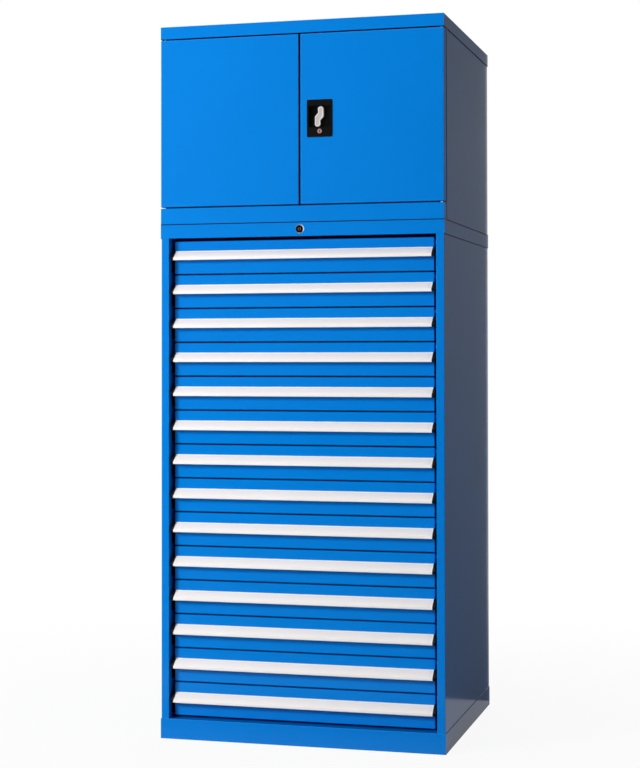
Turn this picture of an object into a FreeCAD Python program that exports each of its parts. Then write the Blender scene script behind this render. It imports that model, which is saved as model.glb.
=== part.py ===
import FreeCAD, Part
import math
import os
from FreeCAD import Vector

# Steel drawer cabinet with a two-door cupboard on top.
# Frame: +X to the viewer's right, +Y to the back, +Z up, millimetres.
# Origin: the middle of the footprint, on the floor.

# ---- driving dimensions -------------------------------------------------

# outside of the cabinet
cabinet_width = 800.0
cabinet_depth = 700.0
plinth_height = 55.0
rail_height = 38.0
cupboard_height = 550.0
roof_band_height = 34.0
floor_band_height = 45.0
band_return_depth = 28.0
stand_off = 2.0

# sheet metal
sheet = 1.5
drawer_sheet = 1.2
door_sheet = 1.2
bend_radius = 1.5
foot_flange = 28.0
top_return = 20.0
rear_flange = 20.0
cupboard_flange = 28.0
back_panel_return = 15.0

# corner posts and rear uprights of the drawer housing
post_width = 23.5
post_return = 40.0
upright_depth = 40.0
upright_from_back = 22.0

# drawers
drawer_count = 14
drawer_pitch = 94.0
front_gap = 4.0
gap_over_plinth = 7.0
gap_under_rail = 8.0
front_side_gap = 9.5
front_recess = 24.0
front_depth = 18.0
front_edge_bevel = 1.0
tray_lift = 5.0
tray_wall_height = 66.0
tray_depth = 610.0
tray_top_flange = 9.0

# handle strip of a drawer
handle_drop = 26.5
handle_height = 26.0
handle_wall = 1.8
lip_height = 7.0
lip_thickness = 2.6
back_leg = 17.0
label_rib = 1.1
label_rib_width = 1.6
nose_bevel = 0.8
end_cap_thickness = 5.0
end_cap_margin = 1.0

# drawer runners: three nested channels on each side
runner_sheet = 1.5
runner_height = 44.0
runner_gap = 1.5
runner_width = 19.0
runner_lift = 6.0
runner_lug_length = 22.0
fixed_runner_length = 608.0
middle_runner_length = 600.0
drawer_runner_length = 592.0
runner_front_gap = 2.0

# central lock of the drawers
lock_rosette_diameter = 25.0
lock_rosette_bevel = 1.8
lock_plug_diameter = 16.0
lock_plug_recess = 0.5
lock_cam_thickness = 3.0
lock_cam_gap = 1.0
lock_cam_rim = 3.5
lock_running_gap = 0.05
lock_bar_thickness = 4.0
lock_bar_width = 8.0
lock_bar_side_gap = 3.0
lock_bar_travel = 13.0
finger_height = 10.0
finger_reach = 22.0
finger_clearance = 3.0
striker_reach = 10.0
striker_thickness = 4.0
striker_gap = 2.0
yoke_stud_diameter = 6.0
yoke_play = 0.8

# cupboard doors
door_gap = 3.5
door_centre_gap = 5.0
door_thickness = 24.0
door_edge_radius = 2.5
door_lip = 18.0
stiffener_width = 60.0
stiffener_foot = 14.0
hinge_inset = 10.0
hinge_pin_diameter = 8.0
hinge_pin_depth = 12.5
hinge_running_gap = 0.08

# shelf of the cupboard
shelf_height = 258.5
shelf_thickness = 25.0
shelf_setback = 40.0
shelf_rail_leg = 25.0
shelf_side_gap = 2.0

# turn handle of the right door
dish_x = 57.0
dish_width = 71.5
dish_height = 102.0
dish_plate = 1.5
dish_corner = 4.0
pocket_width = 62.0
pocket_height = 58.0
pocket_depth = 12.0
pocket_wall = 1.5
pocket_top_margin = 17.0
pocket_corner = 3.0
lever_x = 55.0
lever_length = 55.0
lever_arm_width = 17.5
lever_width = 25.0
lever_waist = 2.0
lever_waist_height = 11.0
lever_shoulder = 4.0
lever_end_radius = 7.0
lever_thickness = 6.0
lever_edge = 1.2
lever_floor_gap = 3.0
spindle_diameter = 10.0
key_drop = 35.0
key_diameter = 14.0
key_collar_diameter = 18.0
key_slot_width = 1.6
key_slot_length = 7.0
key_slot_depth = 6.0
running_gap = 0.3

# rods of the right door
rod_diameter = 8.0
rod_travel = 15.0
rod_guide_gap = 0.5
keeper_gap = 1.0
yoke_plate = 3.0
cam_plate = 2.0
cam_gap = 0.4
cam_rim = 1.5
rod_stud_diameter = 5.0
rod_play = 0.7
rod_start_gap = 4.0
rod_bridge_height = 14.0
rod_end_gap = 0.5
stem_rim = 1.0
yoke_rim = 4.0

# ---- sizes that follow from them ----------------------------------------

half_width = cabinet_width / 2
front_plane = -cabinet_depth / 2
back_plane = cabinet_depth / 2
side_face = half_width - sheet
side_inner = side_face - sheet
post_front = front_plane + sheet
housing_back = back_plane - sheet
post_inner = half_width - post_width

first_drawer_z = plinth_height + gap_over_plinth
front_height = drawer_pitch - front_gap
drawers_top = first_drawer_z + drawer_count * drawer_pitch - front_gap
rail_bottom = drawers_top + gap_under_rail
rail_top = rail_bottom + rail_height
total_height = rail_top + cupboard_height

front_face = front_plane + front_recess
front_rear = front_face + front_depth
front_half = post_inner - front_side_gap
runner_inner = post_inner - runner_width
tray_half = runner_inner
tray_front = front_face + drawer_sheet

door_bottom = rail_top + floor_band_height + door_gap
roof_bottom = total_height - roof_band_height
door_top = roof_bottom - door_gap
door_rear = front_plane + door_thickness
carcass_front = front_plane + band_return_depth
hinge_x = half_width - hinge_inset
hinge_y = front_plane + hinge_inset

shelf_bottom = rail_top + shelf_height

dish_centre_z = (door_bottom + door_top) / 2
lever_z = dish_centre_z + dish_height / 2 - pocket_top_margin - pocket_height / 2
key_z = dish_centre_z - key_drop
pocket_floor = front_plane + pocket_depth
pocket_back = pocket_floor + pocket_wall

drawer_names = ["drawer_%02d" % (index + 1) for index in range(drawer_count)]


# ---- helpers ------------------------------------------------------------

def box(x, y, z):
    """Box between two values on each axis."""
    size = [high - low for low, high in (x, y, z)]
    return Part.makeBox(size[0], size[1], size[2], Vector(x[0], y[0], z[0]))


def in_plan(u, v):
    return Vector(u, v, 0)


def in_section(u, v):
    return Vector(0, u, v)


def in_front(u, v):
    return Vector(u, 0, v)


def rounded_wire(points, radii):
    """Closed wire through the points, each corner rounded by its radius."""
    edges = []
    count = len(points)
    ends = []
    for index in range(count):
        corner = points[index]
        radius = radii[index]
        if radius <= 0:
            ends.append((corner, corner))
            continue
        before = points[index - 1].sub(corner)
        after = points[(index + 1) % count].sub(corner)
        before.normalize()
        after.normalize()
        half_angle = before.getAngle(after) / 2
        reach = radius / math.tan(half_angle)
        middle = before.add(after)
        middle.normalize()
        start = corner.add(before * reach)
        finish = corner.add(after * reach)
        top = corner.add(middle * (radius / math.sin(half_angle) - radius))
        edges.append(Part.Arc(start, top, finish).toShape())
        ends.append((start, finish))
    for index in range(count):
        leave = ends[index][1]
        arrive = ends[(index + 1) % count][0]
        if leave.distanceToPoint(arrive) > 1e-6:
            edges.append(Part.LineSegment(leave, arrive).toShape())
    return Part.Wire(Part.__sortEdges__(edges))


def prism(points, radii, along):
    """Solid from a rounded outline, extruded along a vector."""
    return Part.Face(rounded_wire(points, radii)).extrude(along)


def sharp_prism(points, along):
    """Solid from an outline with square corners."""
    return prism(points, [0.0] * len(points), along)


def line_crossing(p, d, q, e):
    """Point where the line from p along d meets the line from q along e."""
    cross = d[0] * e[1] - d[1] * e[0]
    step = ((q[0] - p[0]) * e[1] - (q[1] - p[1]) * e[0]) / cross
    return (p[0] + d[0] * step, p[1] + d[1] * step)


def folded_sheet(path, thickness, bends, plane, along, start=Vector(0, 0, 0)):
    """Sheet folded along a path, its thickness on the left of the path.

    bends holds the outer radius of each fold; 0 is a sharp fold.
    """
    directions = []
    offsets = []
    for (u0, v0), (u1, v1) in zip(path[:-1], path[1:]):
        length = math.hypot(u1 - u0, v1 - v0)
        direction = ((u1 - u0) / length, (v1 - v0) / length)
        directions.append(direction)
        offsets.append((u0 - direction[1] * thickness, v0 + direction[0] * thickness))
    last = directions[-1]
    inner = [offsets[0]]
    path_radii = [0.0]
    inner_radii = [0.0]
    for index in range(1, len(directions)):
        before = directions[index - 1]
        after = directions[index]
        inner.append(line_crossing(offsets[index - 1], before, offsets[index], after))
        turns_left = before[0] * after[1] - before[1] * after[0] > 0
        bend = bends[index - 1]
        path_radii.append(bend if turns_left else 0.0)
        inner_radii.append(0.0 if turns_left else bend)
    inner.append((path[-1][0] - last[1] * thickness, path[-1][1] + last[0] * thickness))
    path_radii.append(0.0)
    inner_radii.append(0.0)
    outline = list(path) + inner[::-1]
    points = [plane(u, v).add(start) for u, v in outline]
    return prism(points, path_radii + inner_radii[::-1], along)


def cylinder(x, y0, y1, z, radius):
    """Cylinder along Y."""
    return Part.makeCylinder(radius, y1 - y0, Vector(x, y0, z), Vector(0, 1, 0))


def post(x, y, z0, z1, radius):
    """Cylinder along Z."""
    return Part.makeCylinder(radius, z1 - z0, Vector(x, y, z0), Vector(0, 0, 1))


def mirrored(shape):
    """The same shape on the other side of the cabinet."""
    return shape.mirror(Vector(0, 0, 0), Vector(1, 0, 0))


def save(name, solids):
    """Write one sub-part, made of one or more solids."""
    flat = []
    for shape in solids:
        flat.extend(shape.Solids)
    whole = flat[0] if len(flat) == 1 else Part.makeCompound(flat)
    whole.exportStep("parts/%s.step" % name)


def soft_box(x, y, z, radius):
    """Box with its four front edges rounded and mitred at the corners."""
    radii = [0.0, radius, radius, 0.0]
    across = [Vector(x[0], y[1], z[0]), Vector(x[0], y[0], z[0]), Vector(x[1], y[0], z[0]),
              Vector(x[1], y[1], z[0])]
    upright = [Vector(x[0], y[1], z[0]), Vector(x[0], y[0], z[0]), Vector(x[0], y[0], z[1]),
               Vector(x[0], y[1], z[1])]
    block = prism(across, radii, Vector(0, 0, z[1] - z[0]))
    return block.common(prism(upright, radii, Vector(x[1] - x[0], 0, 0)))


def open_pan(x, y, z, wall, bevel):
    """Folded pan, open at the back, its front edges broken by a small bevel."""
    block = box(x, y, z)
    rim = [edge for edge in block.Edges if abs(edge.CenterOfMass.y - y[0]) < 1e-6]
    hollow = box((x[0] + wall, x[1] - wall), (y[0] + wall, y[1] + 1),
                 (z[0] + wall, z[1] - wall))
    return block.makeChamfer(bevel, rim).cut(hollow)


def mitred_frame(outer_x, front_y, back_y, path, thickness, bends):
    """Four mitred channels round a rectangle; path is (inward, height)."""
    mid_y = (front_y + back_y) / 2
    half_y = (back_y - front_y) / 2
    strips = []
    for turn, length, reach in ((0, outer_x, half_y), (90, half_y, outer_x),
                                (180, outer_x, half_y), (270, half_y, outer_x)):
        section = [(u - reach, v) for u, v in path]
        channel = folded_sheet(section, thickness, bends, in_section,
                               Vector(2 * length, 0, 0), Vector(-length, 0, 0))
        depth = max(u for u, v in path)
        low = min(v for u, v in path) - 1
        high = max(v for u, v in path) + 1
        corners = [Vector(-length, -reach, low), Vector(length, -reach, low),
                   Vector(length - depth, depth - reach, low),
                   Vector(depth - length, depth - reach, low)]
        mitre = sharp_prism(corners, Vector(0, 0, high - low))
        strip = channel.common(mitre)
        strip.rotate(Vector(0, 0, 0), Vector(0, 0, 1), turn)
        strip.translate(Vector(0, mid_y, 0))
        strips.append(strip)
    return strips


# ---- drawer housing -----------------------------------------------------

def plinth():
    """Base: a mitred channel all round and a deck under the drawers."""
    path = [(foot_flange, plinth_height), (0, plinth_height), (0, 0), (foot_flange, 0)]
    ring = mitred_frame(half_width, front_plane, back_plane, path, sheet, [bend_radius, 0.0])
    return ring + [inset_sheet(foot_flange, back_plane, plinth_height)]


def inset_sheet(inset, rear, top):
    """Flat sheet that fills a mitred frame, flush with its top returns."""
    return box((inset - half_width, half_width - inset), (front_plane + inset, rear - inset),
               (top - sheet, top))


def wall_set(front_path, front_bends, z0, z1):
    """Two side panels and the back panel between two heights."""
    rise = Vector(0, 0, z1 - z0)
    base = Vector(0, 0, z0)
    path = front_path + [(side_face, housing_back), (side_face - rear_flange, housing_back)]
    side = folded_sheet(path, sheet, front_bends + [0.0], in_plan, rise, base)
    back_half = side_face - rear_flange
    back_path = [(back_half, housing_back - back_panel_return), (back_half, housing_back),
                 (-back_half, housing_back), (-back_half, housing_back - back_panel_return)]
    back = folded_sheet(back_path, sheet, [0.0, 0.0], in_plan, rise, base)
    return [side, mirrored(side), back]


def drawer_housing():
    """Side panels with box-folded front posts, back panel, rear uprights."""
    z0 = plinth_height
    z1 = rail_top - sheet
    front_path = [(post_inner, post_front + post_return), (post_inner, post_front),
                  (side_face, post_front)]
    walls = wall_set(front_path, [bend_radius, bend_radius], z0, z1)
    y1 = housing_back - upright_from_back
    y0 = y1 - upright_depth
    path = [(side_inner, y1), (post_inner, y1), (post_inner, y0), (side_inner, y0)]
    upright = folded_sheet(path, sheet, [0.0, 0.0], in_plan, Vector(0, 0, z1 - z0),
                           Vector(0, 0, z0))
    return walls + [upright, mirrored(upright)]


def top_cover():
    """Cover of the drawer housing, its front edge the lock rail."""
    under = rail_top - sheet
    path = [(top_return, rail_top), (0, rail_top), (0, rail_bottom), (foot_flange, rail_bottom)]
    strips = mitred_frame(half_width, front_plane, back_plane, path, sheet, [bend_radius, 0.0])
    post_clear = box((-side_face, side_face), (post_front, back_plane - sheet),
                     (rail_bottom - 1, under))
    front = strips[0].cut(lock_barrel(lock_plug_diameter / 2 + lock_running_gap))
    for shape in housing_posts():
        front = front.cut(shape)
    others = [strip.cut(post_clear) for strip in strips[1:]]
    return [front] + others + [inset_sheet(top_return, back_plane, rail_top)]


def housing_posts():
    """Space that the front posts take inside the rail."""
    space = box((post_inner, side_face), (post_front, post_front + post_return),
                (rail_bottom - 1, rail_top - sheet))
    return [space, mirrored(space)]


# ---- central lock -------------------------------------------------------

lock_z = (rail_bottom + rail_top) / 2
yoke_radius = lock_bar_travel / math.sqrt(2)
bar_front = post_front + post_return + lock_bar_side_gap
bar_back = bar_front + lock_bar_thickness
striker_front = bar_back + striker_gap
striker_z = tray_lift + tray_wall_height - finger_height
bar_x0 = post_inner + (side_inner - post_inner - lock_bar_width) / 2


def lock_barrel(radius):
    return cylinder(0, front_plane - stand_off, front_plane + foot_flange, lock_z, radius)


def lock_rosette():
    """Turned ring round the lock."""
    outer = lock_rosette_diameter / 2
    inner = lock_plug_diameter / 2 + lock_running_gap
    face = front_plane - stand_off
    points = [Vector(inner, face, 0), Vector(outer - lock_rosette_bevel, face, 0),
              Vector(outer, front_plane, 0), Vector(inner, front_plane, 0)]
    ring = Part.Face(rounded_wire(points, [0.0] * len(points)))
    ring = ring.revolve(Vector(0, 0, 0), Vector(0, 1, 0), 360)
    ring.translate(Vector(0, 0, lock_z))
    return [ring]


def central_lock():
    """Lock plug with key slot, spindle, and the cam whose stud moves the bar."""
    face = front_plane - stand_off + lock_plug_recess
    body_end = front_plane + foot_flange
    cam_end = bar_front - lock_cam_gap
    cam_start = cam_end - lock_cam_thickness
    plug = cylinder(0, face, body_end, lock_z, lock_plug_diameter / 2)
    slot = key_slot(0, face, lock_z)
    shaft = cylinder(0, body_end, cam_start, lock_z, spindle_diameter / 2)
    half = spindle_diameter / 2
    cam = box((-half, yoke_radius + yoke_stud_diameter / 2 + lock_cam_rim),
              (cam_start, cam_end), (-half, half))
    cam.rotate(Vector(0, 0, 0), Vector(0, 1, 0), -45)
    cam.translate(Vector(0, 0, lock_z))
    reach = yoke_radius / math.sqrt(2)
    stud = cylinder(reach, cam_end, bar_back + lock_cam_gap, lock_z + reach,
                    yoke_stud_diameter / 2)
    return [plug.cut(slot).fuse([shaft, cam, stud]).removeSplitter()]


def key_slot(x, face, z):
    """Space of a key slot behind a face."""
    return box((x - key_slot_width / 2, x + key_slot_width / 2),
               (face - 1, face + key_slot_depth),
               (z - key_slot_length / 2, z + key_slot_length / 2))


def lock_bar():
    """Sliding bar with one finger for each drawer and a yoke at the lock."""
    reach = yoke_radius / math.sqrt(2)
    slot_half = yoke_stud_diameter / 2 + yoke_play
    arm_z = lock_z + reach
    arm_half = slot_half + yoke_rim
    yoke_left = reach - slot_half - yoke_rim
    depth = (bar_front, bar_back)
    arm = box((yoke_left, bar_x0 + lock_bar_width), depth, (arm_z - arm_half, arm_z + arm_half))
    slot_x = (reach - slot_half, yoke_radius + slot_half)
    slot = box(slot_x, (bar_front - 1, bar_back + 1), (arm_z - slot_half, arm_z + slot_half))
    upright = box((bar_x0, bar_x0 + lock_bar_width), depth,
                  (first_drawer_z + striker_z + finger_height, arm_z + arm_half))
    fingers = []
    for index in range(drawer_count):
        low = first_drawer_z + index * drawer_pitch + striker_z + finger_height + finger_clearance
        fingers.append(box((bar_x0 - finger_reach, bar_x0 + lock_bar_width / 2), depth,
                           (low, low + finger_height)))
    upright = upright.cut(arm)
    return [arm.cut(slot), upright] + [finger.cut(upright) for finger in fingers]


# ---- drawers ------------------------------------------------------------

def drawer_base(index):
    """Height of the lower edge of one drawer front; drawer 1 is the top one."""
    return first_drawer_z + (drawer_count - 1 - index) * drawer_pitch


def drawer_box(z0):
    """Folded front, tray with rolled top edges, end walls and lock striker."""
    front = open_pan((-front_half, front_half), (front_face, front_rear),
                     (z0, z0 + front_height), drawer_sheet, front_edge_bevel)
    low = z0 + tray_lift
    high = low + tray_wall_height
    flange = tray_half - tray_top_flange
    path = [(flange, high), (tray_half, high), (tray_half, low),
            (-tray_half, low), (-tray_half, high), (-flange, high)]
    tray = folded_sheet(path[::-1], drawer_sheet, [0.0] * 4, in_front,
                        Vector(0, tray_depth, 0), Vector(0, tray_front, 0))
    inner = tray_half - drawer_sheet
    lip = tray_top_flange
    end_path = [(lip, high - drawer_sheet), (0, high - drawer_sheet), (0, low + drawer_sheet)]
    walls = []
    for y, way in ((tray_front, 1), (tray_front + tray_depth, -1)):
        section = [(y + way * u, v) for u, v in end_path]
        if way < 0:
            section = section[::-1]
        walls.append(folded_sheet(section, drawer_sheet, [0.0], in_section,
                                  Vector(2 * inner, 0, 0), Vector(-inner, 0, 0)))
    striker = box((tray_half, tray_half + striker_reach),
                  (striker_front, striker_front + striker_thickness),
                  (z0 + striker_z, z0 + striker_z + finger_height))
    return [front, tray] + walls + [striker]


def handle_section(z0):
    """Outline of the handle strip: lip, label slope between two ribs, back leg."""
    top = z0 + front_height - handle_drop
    bottom = top - handle_height
    lip_top = bottom + lip_height
    nose = front_plane
    wall = front_face
    rise = (top - lip_top) / (wall - nose)
    skin = handle_wall * math.hypot(1, rise)
    inner_nose = nose + lip_thickness
    inner_wall = wall - handle_wall
    label_front = nose + label_rib_width
    label_back = wall - label_rib_width

    def label_height(y):
        return lip_top - label_rib + (y - nose) * rise

    outline = [(nose, bottom + nose_bevel), (nose + nose_bevel, bottom), (inner_nose, bottom),
               (inner_nose, label_height(inner_nose) - skin),
               (inner_wall, label_height(inner_wall) - skin), (inner_wall, top - back_leg),
               (wall, top - back_leg), (wall, top), (label_back, top),
               (label_back, label_height(label_back)), (label_front, label_height(label_front)),
               (label_front, lip_top), (nose, lip_top)]
    return outline


def drawer_handle(z0):
    """Extruded handle strip with a plastic cap at each end."""
    points = [Vector(-front_half, u, v) for u, v in handle_section(z0)]
    strip = sharp_prism(points, Vector(2 * front_half, 0, 0))
    top = z0 + front_height - handle_drop + end_cap_margin
    bottom = top - handle_height - 2 * end_cap_margin
    nose = front_plane
    shoulder = bottom + lip_height + 2 * end_cap_margin
    cap_outline = [(nose, bottom), (front_face, bottom + lip_height), (front_face, top),
                   (front_face - 2 * end_cap_margin, top), (nose, shoulder)]
    points = [Vector(front_half, u, v) for u, v in cap_outline]
    cap = sharp_prism(points, Vector(end_cap_thickness, 0, 0))
    return [strip, cap, mirrored(cap)]


# ---- runners ------------------------------------------------------------

runner_front = front_rear + runner_front_gap


def channel(web_x, tip_x, half, z, y0, length):
    """Runner channel on the right: its web at web_x, its flanges to tip_x."""
    path = [(tip_x, z - half), (web_x, z - half), (web_x, z + half), (tip_x, z + half)]
    if tip_x > web_x:
        path = path[::-1]
    return folded_sheet(path, runner_sheet, [0.0, 0.0], in_front, Vector(0, length, 0),
                        Vector(0, y0, 0))


def fixed_channel(z):
    """Outer channel, its web run forward as a lug that meets the front post."""
    half = runner_height / 2
    rail = channel(post_inner, runner_inner + runner_gap, half, z,
                   runner_front, fixed_runner_length)
    lug = box((post_inner - runner_sheet, post_inner),
              (runner_front - runner_lug_length, runner_front), (z - half, z + half))
    return rail.fuse(lug).removeSplitter()


def middle_channel(z):
    half = runner_height / 2 - runner_sheet - runner_gap
    return channel(post_inner - runner_sheet - runner_gap, runner_inner + runner_gap, half, z,
                   runner_front, middle_runner_length)


def drawer_channel(z):
    half = runner_height / 2 - 2 * runner_sheet - 2 * runner_gap
    return channel(runner_inner, post_inner - 2 * runner_sheet - 2 * runner_gap, half, z,
                   runner_front, drawer_runner_length)


def runner_axis(z0):
    return z0 + runner_lift + runner_height / 2


# ---- cupboard -----------------------------------------------------------

def cupboard_walls():
    front_path = [(side_face - cupboard_flange, carcass_front), (side_face, carcass_front)]
    return wall_set(front_path, [bend_radius], rail_top, total_height - sheet)


def cupboard_shell():
    """Side panels with front flanges, back panel and the two shelf rails."""
    low = shelf_bottom - sheet
    path = [(side_inner, low - shelf_rail_leg), (side_inner, low + sheet),
            (side_inner - shelf_rail_leg, low + sheet)]
    y0 = carcass_front + shelf_setback
    y1 = housing_back - shelf_setback
    rail = folded_sheet(path, sheet, [0.0], in_front, Vector(0, y1 - y0, 0),
                        Vector(0, y0, 0))
    return cupboard_walls() + [rail, mirrored(rail)]


def cupboard_shelf():
    """Adjustable shelf with folded front and rear edges."""
    half = side_inner - shelf_side_gap
    y0 = carcass_front + shelf_setback
    y1 = housing_back - shelf_setback
    top = shelf_bottom + shelf_thickness
    path = [(y0 + shelf_thickness, shelf_bottom), (y0, shelf_bottom), (y0, top), (y1, top),
            (y1, shelf_bottom), (y1 - shelf_thickness, shelf_bottom)]
    return [folded_sheet(path[::-1], sheet, [0.0, 0.0, bend_radius, 0.0], in_section,
                         Vector(2 * half, 0, 0), Vector(-half, 0, 0))]


def cupboard_floor():
    """Front band, flush with the doors, and the floor sheet behind it."""
    top = rail_top + floor_band_height
    band = open_pan((-half_width, half_width), (front_plane, carcass_front), (rail_top, top),
                    sheet, front_edge_bevel)
    band = band.cut(post(lever_x, rod_y, top - 2 * sheet, top + 1, rod_diameter / 2 + keeper_gap))
    sheet_floor = box((-side_inner, side_inner), (carcass_front, housing_back - sheet),
                      (top - sheet, top))
    for wall in cupboard_walls():
        sheet_floor = sheet_floor.cut(wall)
    return [band, sheet_floor]


def hinge_pins():
    """Fixed pins that the doors turn on, under and over each leaf."""
    radius = hinge_pin_diameter / 2
    lower = post(hinge_x, hinge_y, door_bottom - door_gap, door_bottom + hinge_pin_depth, radius)
    upper = post(hinge_x, hinge_y, door_top - hinge_pin_depth, roof_bottom, radius)
    return [lower, mirrored(lower), upper, mirrored(upper)]


def cupboard_roof():
    """Roof sheet with a deep edge; the front edge returns over the doors."""
    under = total_height - sheet
    path = [(top_return, total_height), (0, total_height), (0, roof_bottom),
            (band_return_depth, roof_bottom)]
    strips = mitred_frame(half_width, front_plane, back_plane + stand_off, path, sheet,
                          [bend_radius, 0.0])
    keeper = post(lever_x, rod_y, roof_bottom - 1, roof_bottom + 2 * sheet,
                  rod_diameter / 2 + keeper_gap)
    inside = box((-side_face, side_face), (carcass_front, back_plane), (roof_bottom - 1, under))
    strips = [strips[0].cut(keeper)] + [strip.cut(inside) for strip in strips[1:]]
    lid = inset_sheet(top_return, back_plane + stand_off, total_height)
    return strips + [lid]


def door_leaf():
    """Right-hand door leaf before its cut-outs: a folded pan with rear lips."""
    x = (door_centre_gap / 2, half_width)
    z = (door_bottom, door_top)
    leaf = soft_box(x, (front_plane, door_rear), z, door_edge_radius)
    hollow = box((x[0] + door_sheet, x[1] - door_sheet),
                 (front_plane + door_sheet, door_rear - door_sheet),
                 (z[0] + door_sheet, z[1] - door_sheet))
    window = box((x[0] + door_lip, x[1] - door_lip), (door_rear - 2 * door_sheet, door_rear + 1),
                 (z[0] + door_lip, z[1] - door_lip))
    leaf = leaf.cut(hollow).cut(window)
    bore = hinge_pin_diameter / 2 + hinge_running_gap
    leaf = leaf.cut(post(hinge_x, hinge_y, z[0] - 1, z[0] + 2 * door_sheet, bore))
    return leaf.cut(post(hinge_x, hinge_y, z[1] - 2 * door_sheet, z[1] + 1, bore))


def door_stiffener():
    """Hat section behind the middle of a door leaf."""
    x = (door_centre_gap / 2 + half_width) / 2
    half = stiffener_width / 2
    front = front_plane + door_sheet
    back = door_rear - 2 * door_sheet
    path = [(x - half, front), (x - half + stiffener_foot, front),
            (x - half + stiffener_foot, back), (x + half - stiffener_foot, back),
            (x + half - stiffener_foot, front), (x + half, front)]
    z0 = door_bottom + door_sheet
    return folded_sheet(path, door_sheet, [0.0] * 4, in_plan,
                        Vector(0, 0, door_top - door_bottom - 2 * door_sheet),
                        Vector(0, 0, z0))


def left_door():
    return [mirrored(door_leaf()), mirrored(door_stiffener())]


def right_door():
    """Leaf with the cut-outs for the handle dish, the lock and the rods."""
    leaf = door_leaf()
    hole_half = pocket_width / 2 + pocket_wall
    hole_rise = pocket_height / 2 + pocket_wall
    leaf = leaf.cut(box((dish_x - hole_half, dish_x + hole_half),
                        (front_plane - 1, front_plane + 2 * door_sheet),
                        (lever_z - hole_rise, lever_z + hole_rise)))
    leaf = leaf.cut(cylinder(dish_x, front_plane - 1, front_plane + 2 * door_sheet, key_z,
                             key_diameter / 2 + running_gap))
    guide = rod_diameter / 2 + rod_guide_gap
    leaf = leaf.cut(post(lever_x, rod_y, door_bottom - 1, door_top + 1, guide))
    return [leaf, door_stiffener()]


# ---- turn handle and rods of the right door -----------------------------

rod_y = door_rear - door_sheet - running_gap - rod_guide_gap - rod_diameter / 2
cam_front = pocket_back + cam_gap
cam_back = cam_front + cam_plate
yoke_front = cam_back + cam_gap
yoke_back = yoke_front + yoke_plate
cam_radius = rod_travel / math.sqrt(2)


def rounded_plate(x, z, width, height, corner, y0, y1):
    """Rounded rectangle in the front plane, between two depths."""
    half = width / 2
    tall = height / 2
    points = [Vector(x + sx * half, y0, z + sz * tall)
              for sx, sz in ((-1, -1), (1, -1), (1, 1), (-1, 1))]
    return prism(points, [corner] * 4, Vector(0, y1 - y0, 0))


def handle_dish():
    """Plate with a pocket for the turn lever and a hole for the lock."""
    plate = rounded_plate(dish_x, dish_centre_z, dish_width, dish_height, dish_corner,
                          front_plane - dish_plate, front_plane)
    cup = rounded_plate(dish_x, lever_z, pocket_width + 2 * pocket_wall,
                        pocket_height + 2 * pocket_wall, 0.0, front_plane, pocket_back)
    pocket = rounded_plate(dish_x, lever_z, pocket_width, pocket_height, pocket_corner,
                           front_plane - dish_plate - 1, pocket_floor)
    spindle = cylinder(lever_x, pocket_floor - 1, pocket_back + 1, lever_z,
                       spindle_diameter / 2 + running_gap)
    key = cylinder(dish_x, front_plane - stand_off - 1, front_plane + 1, key_z,
                   key_diameter / 2 + running_gap)
    collar = cylinder(dish_x, front_plane - stand_off, front_plane, key_z,
                      key_collar_diameter / 2)
    return [plate.fuse([cup, collar]).removeSplitter().cut(pocket).cut(spindle).cut(key)]


def turn_lever():
    """Z-shaped lever, spindle and cam plate with the two rod studs."""
    front = pocket_floor - lever_floor_gap - lever_thickness
    back = pocket_floor - lever_floor_gap
    tall = lever_length / 2
    wide = lever_width / 2
    inner = wide - lever_arm_width
    waist = inner + lever_waist
    half = [(wide, tall), (inner, tall), (waist, lever_waist_height), (-wide, 0.0)]
    outline = half + [(-u, -v) for u, v in half]
    radii = [lever_end_radius, lever_end_radius, lever_shoulder, lever_shoulder] * 2
    points = [Vector(lever_x + u, front, lever_z + v) for u, v in outline]
    grip = prism(points, radii, Vector(0, back - front, 0))
    rim = [edge for edge in grip.Edges if abs(edge.CenterOfMass.y - front) < 1e-6]
    grip = grip.makeChamfer(lever_edge, rim)
    spindle = cylinder(lever_x, back, cam_front, lever_z, spindle_diameter / 2)
    half_bar = cam_radius + rod_stud_diameter / 2 + cam_rim
    half_hub = spindle_diameter / 2 + cam_rim
    bar = box((-half_bar, half_bar), (cam_front, cam_back), (-half_hub, half_hub))
    bar.rotate(Vector(0, 0, 0), Vector(0, 1, 0), 45)
    bar.translate(Vector(lever_x, 0, lever_z))
    reach = cam_radius / math.sqrt(2)
    studs = [cylinder(lever_x + way * reach, cam_back, yoke_back, lever_z - way * reach,
                      rod_stud_diameter / 2) for way in (-1, 1)]
    return [grip.fuse([spindle, bar] + studs).removeSplitter()]


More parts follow.
